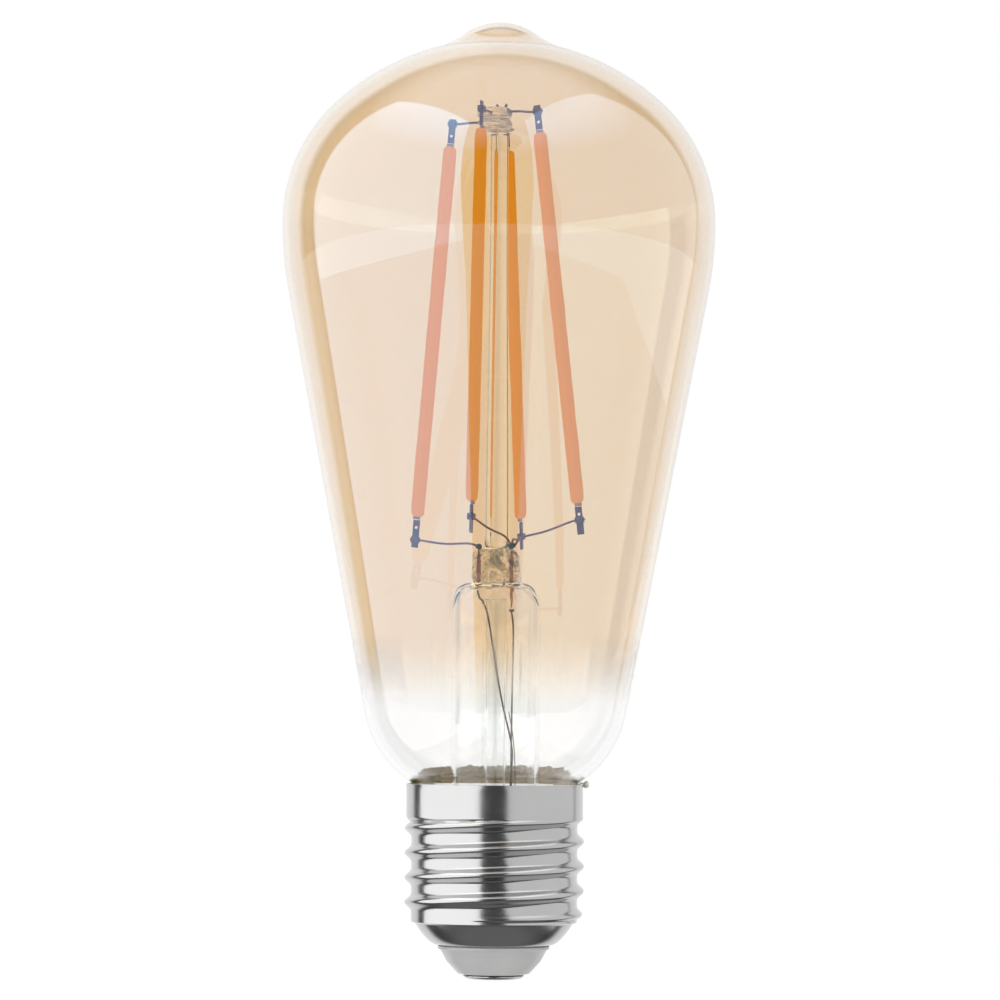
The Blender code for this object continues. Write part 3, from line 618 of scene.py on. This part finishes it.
glass = turnPiece("glassEnvelope", envelopeOutline(), envelope["steps"])
for corner in glass.data.vertices:
    # blown glass is never quite even
    swell = noise.noise(corner.co * envelope["waves"]) * envelope["waveDepth"]
    corner.co += outward(corner.co) * swell * mm
applyModifier(glass, "SOLIDIFY", thickness=envelope["wall"] * mm, offset=-1.0, use_even_offset=True)
place(settle(glass, 60), amber, "amber_glass", "glass_envelope")


# the screw cap
print("cap")
cap = {
    "crest": 13.2, "depth": 1.0, "pitch": 3.629, "phase": 20.26, "sharp": 2.1, "low": 9.4, "high": 24.0,
    "fadeLow": 1.6, "fadeHigh": 1.5, "collar": 13.0, "rim": 28.6, "wall": 0.3, "bowlTop": 8.4, "bowlEnd": 5.0,
    "bowlHole": 8.35, "bowlIn": 1.45, "rows": 150, "steps": 168,
}


def rolledRadius(angle, height):
    # the rolled thread, which runs out into the bowl below and the collar above
    c = cap
    root = c["crest"] - c["depth"]
    turns = (height - c["phase"]) / c["pitch"] - angle / (2 * math.pi)
    ridge = (0.5 + 0.5 * math.cos(2 * math.pi * turns)) ** c["sharp"]
    ridge *= ease(c["low"] - c["fadeLow"], c["low"] + c["fadeLow"] / 2, height)
    radius = root + c["depth"] * ridge
    radius += (c["crest"] - c["bowlIn"] - root) * (1 - ease(c["bowlTop"], c["low"], height))
    rise = ease(c["high"] - c["fadeHigh"], c["high"], height)
    radius = max(radius, root + (c["collar"] - root) * rise)
    return radius + (c["collar"] - radius) * rise ** 4


def capOutline():
    # turned-out rim, straight wall for the thread, and the bowl
    c = cap
    widest = c["crest"] - c["bowlIn"]
    line = [(c["collar"] + 0.10, c["rim"]), (c["collar"] + 0.06, c["rim"] - 0.22)]
    line.append((c["collar"], c["rim"] - 0.5))
    span = c["rim"] - 0.8 - c["bowlTop"]
    line += [(c["collar"], c["rim"] - 0.8 - span * i / c["rows"]) for i in range(c["rows"] + 1)]
    for share in (0.08, 0.18, 0.28, 0.38, 0.48, 0.58, 0.67, 0.75, 0.82, 0.88, 0.93, 0.97, 0.99, 1.0):
        radius = c["bowlHole"] + (widest - c["bowlHole"]) * (1 - share) ** 0.6
        line.append((radius, c["bowlTop"] - (c["bowlTop"] - c["bowlEnd"]) * share))
    return line


shell = turnPiece("screwShell", capOutline(), cap["steps"])
for corner in shell.data.vertices:
    height = corner.co.z / mm
    if cap["bowlTop"] - 0.01 < height < cap["rim"] - 0.7:
        angle = math.atan2(corner.co.y, corner.co.x)
        radius = rolledRadius(angle, height) * mm
        corner.co.x, corner.co.y = radius * math.cos(angle), radius * math.sin(angle)
applyModifier(shell, "SOLIDIFY", thickness=cap["wall"] * mm, offset=-1.0)
place(settle(shell, 50), nickel, "nickel_plate", "screw_shell")

base = {
    "top": 6.8, "hole": 7.9, "seat": 4.9, "lip": 8.2, "lipEnd": 4.35,
    "end": 5.3, "endAt": 0.85, "bore": 1.35, "dish": 4.65, "dishAt": 0.67,
}
line = [
    (base["bore"], base["top"]), (base["hole"] + 0.7, base["top"]),
    (base["hole"] + 0.9, base["top"] - 0.15), (base["hole"], base["seat"] + 0.6),
    (base["hole"], base["seat"]), (base["lip"] - 0.08, base["seat"]),
    (base["lip"], base["seat"] - 0.08), (base["lip"] - 0.02, base["lipEnd"] + 0.1),
    (base["lip"] - 0.22, base["lipEnd"]), (base["lip"] - 0.42, base["lipEnd"] - 0.12),
    (base["end"] + 1.6, base["endAt"] + 1.75), (base["end"] + 0.12, base["endAt"] + 0.13),
    (base["end"], base["endAt"]), (base["end"] - 0.15, base["endAt"] - 0.06),
    (base["dish"], base["dishAt"]), (base["bore"], base["dishAt"]),
]
place(turnPiece("capInsulator", line, 128, ring=True), insulator, "insulator_grey", "cap_insulator")

contact = {"nail": 0.8, "nailTop": 6.0, "rim": 4.5, "rimAt": 0.55, "face": 3.6, "dent": 2.4}
line = [
    (0, contact["nailTop"]), (contact["nail"] - 0.15, contact["nailTop"]),
    (contact["nail"], contact["nailTop"] - 0.15), (contact["nail"], contact["rimAt"]),
    (contact["rim"] - 0.1, contact["rimAt"]), (contact["rim"], contact["rimAt"] - 0.06),
    (contact["rim"] - 0.02, contact["rimAt"] - 0.15), (contact["face"] + 0.5, 0.13),
    (contact["face"] + 0.2, 0.04), (contact["face"], 0.0), (contact["dent"], 0.0),
    (2.2, 0.05), (1.2, 0.09), (0, 0.1),
]
place(turnPiece("centreContact", line, 96), plate, "nickel_plate", "centre_contact")


# the cement ring
print("cement")
ring = {
    "bottom": 24.2, "inside": 12.58, "skin": 0.35, "gap": 0.1, "rows": 14, "steps": 260,
    "rim": 28.7, "shellTop": 28.0, "edge": 28.3, "climb": 2.05, "outer": 13.2, "inner": 11.4, "split": 12.3,
}


def glassRadius(height):
    # the outside of the envelope from its neck to its foot
    e = envelope
    bottomAt = bottomHeight()
    joint = e["neckTop"] + e["fillet"] * (bottomAt - e["neckTop"]) / (e["bottom"] + e["fillet"])
    if height <= e["neckTop"]:
        return e["neck"]
    if height <= joint:
        return e["neck"] + e["fillet"] - math.sqrt(e["fillet"] ** 2 - (height - e["neckTop"]) ** 2)
    return e["bottomIn"] + math.sqrt(e["bottom"] ** 2 - (bottomAt - height) ** 2)


def cementTop(angle):
    # smooth in front and ragged where it climbs the glass at the back
    climb = ease(0.05, 0.95, math.sin(angle))
    spot = Vector((math.cos(angle), math.sin(angle), 0.3))
    ragged = noise.noise(spot * 9) * 0.42 + noise.noise(spot * 26) * 0.34 + abs(noise.noise(spot * 60)) * 0.36
    return ring["edge"] + climb * ring["climb"] + ragged * (0.2 + 0.8 * climb)


def cementSpot(corner):
    # the outline came in as shares, and each corner goes to its real height and radius
    angle = math.atan2(corner.co.y, corner.co.x)
    share, top = corner.co.z / mm * 2, cementTop(angle)
    fold = min(ring["rim"], top - 0.2)
    if share <= 1:
        height = ring["bottom"] + (fold - ring["bottom"]) * share
    else:
        height = fold + (top - fold) * (share - 1)
    radius = glassRadius(height) + ring["gap"]
    if math.hypot(corner.co.x, corner.co.y) / mm > ring["split"]:
        radius += ring["skin"] * (1 + 0.8 * noise.noise(corner.co * 900))
        if height <= ring["rim"] + 0.0001:
            radius = min(radius, ring["inside"]) if height > ring["shellTop"] else ring["inside"]
    return Vector((radius * math.cos(angle), radius * math.sin(angle), height)) * mm


rows = ring["rows"]
line = [(ring["outer"], 1 - i / rows) for i in range(rows + 1)]
line += [(ring["inner"], i / rows) for i in range(rows + 1)]
band = turnPiece("basingCement", line, ring["steps"], ring=True)
for corner in band.data.vertices:
    corner.co = cementSpot(corner)
place(settle(band, 80), cement, "cement", "basing_cement")

low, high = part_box("side_solder")
blob = lumpyBall("sideSolder", (low + high) / 2, (high - low) / 2, 1800, 0.25)
place(blob, solder, "solder", "side_solder")


# the glass stem
print("stem")
stem = {
    "radius": 5.85, "wall": 0.7, "shoulder": 3.7, "pinch": 3.7, "flat": 0.62,
    "flare": 5.5, "lean": 70, "steps": 120,
}
low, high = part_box("stem_flare")
tubeTop, tubeFoot = high.z / mm, low.z / mm
flareWide = high.x / mm


def stemOutline():
    shoulderAt = tubeTop - stem["shoulder"]
    line = []
    for a in range(0, 91, 9):
        turn = math.radians(a)
        radius = stem["pinch"] + (stem["radius"] - stem["pinch"]) * math.sin(turn) ** 0.9
        line.append((radius, shoulderAt + stem["shoulder"] * math.cos(turn)))
    flareTop, lean = tubeFoot + stem["flare"], math.radians(stem["lean"])
    wide = (flareWide - stem["radius"]) / (1 - math.cos(lean))
    tall = stem["flare"] / math.sin(lean)
    line += [(stem["radius"], shoulderAt - (shoulderAt - flareTop) * k / 12) for k in range(1, 12)]
    for i in range(13):
        turn = lean * i / 12
        line.append((stem["radius"] + wide * (1 - math.cos(turn)), flareTop - tall * math.sin(turn)))
    return line


tube = turnPiece("stemFlare", stemOutline(), stem["steps"])
for corner in tube.data.vertices:
    height = corner.co.z / mm
    pinch = ease(tubeTop - stem["shoulder"], tubeTop, height)
    corner.co.y *= 1 + (stem["flat"] - 1) * pinch
    sway = noise.noise(corner.co * 160) * 0.12 + pinch * noise.noise(corner.co * 700) * 0.35
    corner.co += outward(corner.co) * sway * mm
applyModifier(tube, "SOLIDIFY", thickness=stem["wall"] * mm, offset=-1.0)
place(settle(tube, 70), clear, "clear_glass", "stem_flare")

# the press is a soft block, pinched and folded
squeeze = {"bevel": 1.25, "cell": 0.14, "folds": 420, "foldDepth": 0.7, "nicks": 1100, "nickDepth": 0.2}
low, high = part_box("stem_press")
middle = (low + high) / 2
deselectAll()
bpy.ops.mesh.primitive_cube_add(size=1, location=middle, scale=high - low)
press = settle(bpy.context.object)
press.name = press.data.name = "stemPress"
applyModifier(press, "BEVEL", width=squeeze["bevel"] * mm, segments=3)
bpy.ops.object.mode_set(mode="EDIT")
bpy.ops.mesh.select_all(action="SELECT")
bpy.ops.mesh.subdivide(number_cuts=9)
bpy.ops.object.mode_set(mode="OBJECT")
applyModifier(press, "REMESH", mode="VOXEL", voxel_size=squeeze["cell"] * mm)
for corner in press.data.vertices:
    out = corner.co - middle
    fold = noise.noise(corner.co * squeeze["folds"] + Vector((3, 1, 7))) * squeeze["foldDepth"]
    fold += noise.noise(corner.co * squeeze["nicks"]) * squeeze["nickDepth"]
    climb = (corner.co.z - middle.z) / (high.z - middle.z)
    pull = 1 - 0.25 * ease(0.2, 1.0, climb) * ease(0, 3 * mm, abs(out.x))
    corner.co += Vector((out.x * 0.35, out.y, out.z * 0.15)).normalized() * fold * mm
    corner.co.y = middle.y + (corner.co.y - middle.y) * pull
place(settle(press, 80), pressed, "clear_glass", "stem_press")

pipe = {"outer": 1.7, "inner": 1.3, "bead": 0.12, "lip": 0.06, "rows": 14, "steps": 64}
low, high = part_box("exhaust_tube")
outer, inner = pipe["outer"], pipe["inner"]
top, tip = high.z / mm, low.z / mm
straight = top - tip - outer
line = [(inner, top), (inner + pipe["bead"], top + pipe["lip"])]
line += [(outer - pipe["bead"], top + pipe["lip"]), (outer, top)]
line += [(outer, top - straight * k / pipe["rows"]) for k in range(1, pipe["rows"] + 1)]
line += arc((0, tip + outer), outer, 0, -90, 10)[1:]
line += arc((0, tip + outer), inner, -90, 0, 10)
line += [(inner, tip + outer + straight * k / pipe["rows"]) for k in range(1, pipe["rows"])]
exhaust = turnPiece("exhaustTube", line, pipe["steps"], ring=True)
for corner in exhaust.data.vertices:
    swell = noise.noise(Vector((0, 0, corner.co.z * 300))) * 0.05
    corner.co += Vector((corner.co.x, corner.co.y, 0)) * swell
place(settle(exhaust, 60), clear, "clear_glass", "exhaust_tube")

rod = {"radius": 1.32, "swell": 0.43, "swellFrom": 8, "wave": 0.03, "rows": 39, "steps": 64}
low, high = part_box("support_rod")
top, bottom = high.z / mm, low.z / mm
line = [(0, top), (1.12, top), (1.3, top - 0.2)]
for k in range(1, rod["rows"] + 1):
    height = top - 0.2 - (top - bottom - 0.5) * k / rod["rows"]
    radius = rod["radius"] + rod["swell"] * ease(top - rod["swellFrom"], bottom, height)
    line.append((radius + rod["wave"] * noise.noise(Vector((1, 2, height * 0.35))), height))
line += [(1.6, bottom + 0.08), (1.45, bottom), (0, bottom)]
place(turnPiece("supportRod", line, rod["steps"]), clear, "clear_glass", "support_rod")

# the button's rings, as shares of its radius and drops below its top
button = {"radius": 2.65, "steps": 96, "leanOver": 1.6}
low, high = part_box("rod_button")
lean = (low.x + high.x) / 2
rings = [
    (0.0, 0.0), (0.55, 0.02), (0.72, 0.1), (0.90, 0.35), (0.98, 0.75), (1.0, 1.15), (0.97, 1.5),
    (0.88, 1.72), (0.86, 1.82), (0.90, 1.98), (0.97, 2.2), (0.975, 2.5), (0.93, 2.74), (0.83, 2.9),
    (0.81, 2.98), (0.86, 3.12), (0.89, 3.3), (0.86, 3.48), (0.74, 3.66), (0.62, 3.8), (0.50, 3.88),
    (0.0, 3.9),
]
line = [(share * button["radius"], high.z / mm - drop) for share, drop in rings]
knob = turnPiece("rodButton", line, button["steps"])
applyModifier(knob, "SUBSURF", levels=1, render_levels=1)
for corner in knob.data.vertices:
    swell = noise.noise(corner.co * 420) * 0.07
    corner.co.x *= 1 + swell
    corner.co.y *= 1 + swell
    corner.co.x += lean * ease(low.z, low.z + button["leanOver"] * mm, corner.co.z)
place(settle(knob, 70), ringed, "clear_glass", "rod_button")


# filaments, their tabs and the wires
print("cage")


strip = {"cuts": 34, "skinFrom": 0.72, "lumps": 0.08, "grit": 0.03, "endDip": 0.12, "endShare": 0.035}


def bisectAlong(piece, count):
    # rings across a bar from its foot to its head
    corners = [c.co.copy() for c in piece.data.vertices]
    foot = min(corners, key=lambda c: c.z)
    head = max(corners, key=lambda c: c.z)
    axis = (head - foot).normalized()
    pick(piece)
    bpy.ops.object.mode_set(mode="EDIT")
    for i in range(1, count):
        bpy.ops.mesh.select_all(action="SELECT")
        bpy.ops.mesh.bisect(plane_co=foot.lerp(head, i / count), plane_no=axis)
    bpy.ops.object.mode_set(mode="OBJECT")
    return foot, head


def coatFilament(number):
    coat = copyNode("phosphor_coat_%d" % number, "phosphorCoat_%d" % number)
    foot, head = bisectAlong(coat, strip["cuts"])
    for corner in coat.data.vertices:
        share = (corner.co - foot).dot(head - foot) / (head - foot).length_squared
        out = corner.co - foot.lerp(head, share)
        if out.length > strip["skinFrom"] * mm:
            lump = noise.noise(Vector((number * 5, 0, share * 16))) * strip["lumps"]
            lump += noise.noise(corner.co * 900) * strip["grit"]
            edge = ease(0.0, strip["endShare"], share) * ease(0.0, strip["endShare"], 1 - share)
            corner.co += out.normalized() * (lump + strip["endDip"] * (edge - 1)) * mm
    place(settle(coat, 50), gel, "phosphor", "phosphor_coat_%d" % number)


for number in range(1, 5):
    coatFilament(number)
    for end in ("top", "bottom"):
        node = "%s_terminal_%d" % (end, number)
        tab = copyNode(node, "%sTerminal_%d" % (end, number))
        applyModifier(tab, "BEVEL", width=0.05 * mm, segments=2,
                      limit_method="ANGLE", angle_limit=math.radians(40))
        place(settle(tab, 50), steel, "terminal_steel", node)

wires = [("top_support_wire_%d" % n, "topSupportWire_%d" % n, lead) for n in range(1, 5)]
wires += [("bottom_lead_wire_%d" % n, "bottomLeadWire_%d" % n, lead) for n in range(1, 5)]
wires += [("seal_wire_left", "sealWireLeft", copper), ("seal_wire_right", "sealWireRight", copper)]
wires += [("stem_lead_left", "stemLeadLeft", darkLead), ("stem_lead_right", "stemLeadRight", darkLead)]
wires += [("shell_wire", "shellWire", solder)]
for node, name, finish in wires:
    strand = copyNode(node, name)
    applyModifier(strand, "SUBSURF", levels=1, render_levels=1)
    place(settle(strand, 60), finish, "copper" if finish is copper else "lead_metal", node)


# blobs of weld where the seal wires end
rightFoot, rightTop = (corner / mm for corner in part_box("seal_wire_right"))
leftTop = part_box("seal_wire_left")[1] / mm
sealFront = (rightTop.y + rightFoot.y) / 2
beads = {
    "weldBeadRight": {"spot": (2.2, sealFront, rightTop.z + 0.35), "size": (0.62, 0.55, 0.5), "seed": 1},
    "weldBeadLeft": {"spot": (-2.6, sealFront, leftTop.z + 0.2), "size": (0.45, 0.42, 0.4), "seed": 4},
    "leadKnot": {"spot": (2.24, sealFront, rightFoot.z - 0.02), "size": (0.42, 0.4, 0.3), "seed": 7},
}
for name, b in beads.items():
    drop = lumpyBall(name, Vector(b["spot"]) * mm, Vector(b["size"]) * mm, 1500, 0.5, b["seed"])
    place(drop, darkLead, "lead_metal")

# cut ends of wire on the button, and a loose strand in the stem tube
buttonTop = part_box("rod_button")[1].z / mm
ends = {
    "buttonStub_1": {
        "points": [(-0.2, -0.5, buttonTop - 0.5), (-0.25, -0.55, buttonTop + 0.1),
                   (-0.5, -0.6, buttonTop + 0.3)],
        "radius": 0.2, "finish": lead},
    "buttonStub_2": {
        "points": [(0.75, -0.4, buttonTop - 0.5), (0.8, -0.45, buttonTop + 0.05),
                   (1.05, -0.5, buttonTop + 0.42)],
        "radius": 0.2, "finish": lead},
    "looseStrand": {
        "points": [(1.95, -0.5, 39.3), (2.2, -0.6, 38.0), (2.75, -0.8, 35.4),
                   (2.9, -1.2, 32.0), (2.95, -2.0, 29.4)],
        "radius": 0.07, "finish": darkLead},
}
for name, w in ends.items():
    place(drawWire(name, w["points"], w["radius"]), w["finish"], "lead_metal")


# camera, light and floor
print("stage")
view = {"height": 42.0, "away": 750.0, "aim": 70.5, "shiftX": 0.45, "lens": 183.0, "roll": 0.43}


def stand(name, data):
    # a new object on the set
    made = bpy.data.objects.new(name, data)
    bpy.context.scene.collection.objects.link(made)
    return made


camera = stand("camera", bpy.data.cameras.new("camera"))
camera.data.lens = view["lens"]
camera.data.sensor_width = 36
camera.data.clip_start = 0.05
camera.location = Vector((view["shiftX"], -view["away"], view["height"])) * mm
aim = Vector((view["shiftX"], 0, view["aim"])) * mm - camera.location
camera.rotation_mode = "QUATERNION"
camera.rotation_quaternion = aim.to_track_quat("-Z", "Y")
camera.rotation_quaternion.rotate(Quaternion(aim.normalized(), math.radians(-view["roll"])))
bpy.context.scene.camera = camera

# soft panels stand on both sides, with a dark gap behind the camera
panels = {
    "left": {"from": 21.5, "to": 116, "away": 0.70, "tall": 2.55, "glow": 1.45, "lean": 7, "sign": -1},
    "right": {"from": 19, "to": 129, "away": 0.50, "tall": 2.18, "glow": 0.80, "lean": -7, "sign": 1},
}
panelFoot = 0.98  # how far below the floor a panel starts, as a share of its distance
for side, p in panels.items():
    middle = math.radians((p["from"] + p["to"]) / 2)
    half = p["away"] * math.tan(math.radians((p["to"] - p["from"]) / 2))
    lamp = bpy.data.lights.new(side + "Panel", "AREA")
    lamp.shape = "RECTANGLE"
    lamp.size, lamp.size_y = 2 * half, p["tall"]
    lamp.energy = p["glow"] * math.pi * lamp.size * lamp.size_y
    panel = stand(side + "Panel", lamp)
    toward = Vector((p["sign"] * math.sin(middle), -math.cos(middle), 0))
    panel.location = toward * p["away"] + Vector((0, 0, p["tall"] / 2 - panelFoot * p["away"]))
    panel.rotation_mode = "QUATERNION"
    panel.rotation_quaternion = Quaternion(toward, math.radians(p["lean"])) @ toward.to_track_quat("Z", "Y")
    panel.visible_camera = False

# a soft lamp by the camera, which shows in no reflection
lamp = bpy.data.lights.new("fillLamp", "AREA")
lamp.shape = "DISK"
lamp.size = 1.1
lamp.energy = 5.5
fill = stand("fillLamp", lamp)
fill.location = (0, -1.0, 0.12)
fill.rotation_euler = (math.radians(88), 0, 0)
fill.visible_camera = fill.visible_glossy = fill.visible_transmission = False

# the room is white behind the lamp and dark towards the camera
world = bpy.data.worlds.new("studio")
bpy.context.scene.world = world
world.use_nodes = True
tree = world.node_tree
tree.nodes.clear()
out = tree.nodes.new("ShaderNodeOutputWorld")
sky = tree.nodes.new("ShaderNodeBackground")
sky.inputs["Color"].default_value = (1, 1, 1, 1)
path = tree.nodes.new("ShaderNodeLightPath")
spot = tree.nodes.new("ShaderNodeTexCoord")
split = tree.nodes.new("ShaderNodeSeparateXYZ")
tree.links.new(spot.outputs["Generated"], split.inputs[0])


def fade(source, low, high, toLow, toHigh):
    made = tree.nodes.new("ShaderNodeMapRange")
    for slot, number in enumerate((low, high, toLow, toHigh), 1):
        made.inputs[slot].default_value = number
    tree.links.new(source, made.inputs[0])
    return made.outputs[0]


def joined(operation, first, second):
    made = tree.nodes.new("ShaderNodeMath")
    made.operation = operation
    tree.links.new(first, made.inputs[0])
    tree.links.new(second, made.inputs[1])
    return made.outputs[0]


behind = fade(split.outputs["Y"], 0.60, 0.70, 0.07, 0.97)
level = fade(split.outputs["Z"], -0.95, -0.45, 0.3, 1.0)
across = fade(split.outputs["X"], -0.05, 0.05, 1.0, 0.93)
ceiling = fade(split.outputs["Z"], 0.66, 0.9, 0.0, 0.85)
ground = fade(split.outputs["Z"], -0.9, -0.6, 0.18, 0.0)
room = joined("MULTIPLY", joined("MULTIPLY", behind, level), across)
room = joined("MAXIMUM", joined("MAXIMUM", room, ceiling), ground)
tree.links.new(joined("MAXIMUM", path.outputs["Is Camera Ray"], room), sky.inputs["Strength"])
tree.links.new(sky.outputs[0], out.inputs["Surface"])

deselectAll()
bpy.ops.mesh.primitive_plane_add(size=12, location=(0, 0, -0.0006))
floor = bpy.context.object
floor.name = "floor"
paper = Finish("floorPaper")
fibre = paper.ramp(paper.grain(40, 3), (0.3, (0.0, 0.0, 0.0)), (0.7, (0.004, 0.004, 0.004)))
floor.data.materials.append(
    paper.finished(colour=fibre, rough=0.9, level=0.0, glow=(1, 1, 1), glowLevel=1.0))
floor.visible_glossy = False
floor.visible_shadow = False

# many bounces, because light crosses several walls of glass
bpy.context.scene.view_settings.view_transform = "Standard"
cycles = bpy.context.scene.cycles
cycles.caustics_refractive = cycles.caustics_reflective = False
cycles.max_bounces = cycles.transmission_bounces = cycles.transparent_max_bounces = 24
cycles.glossy_bounces = 8
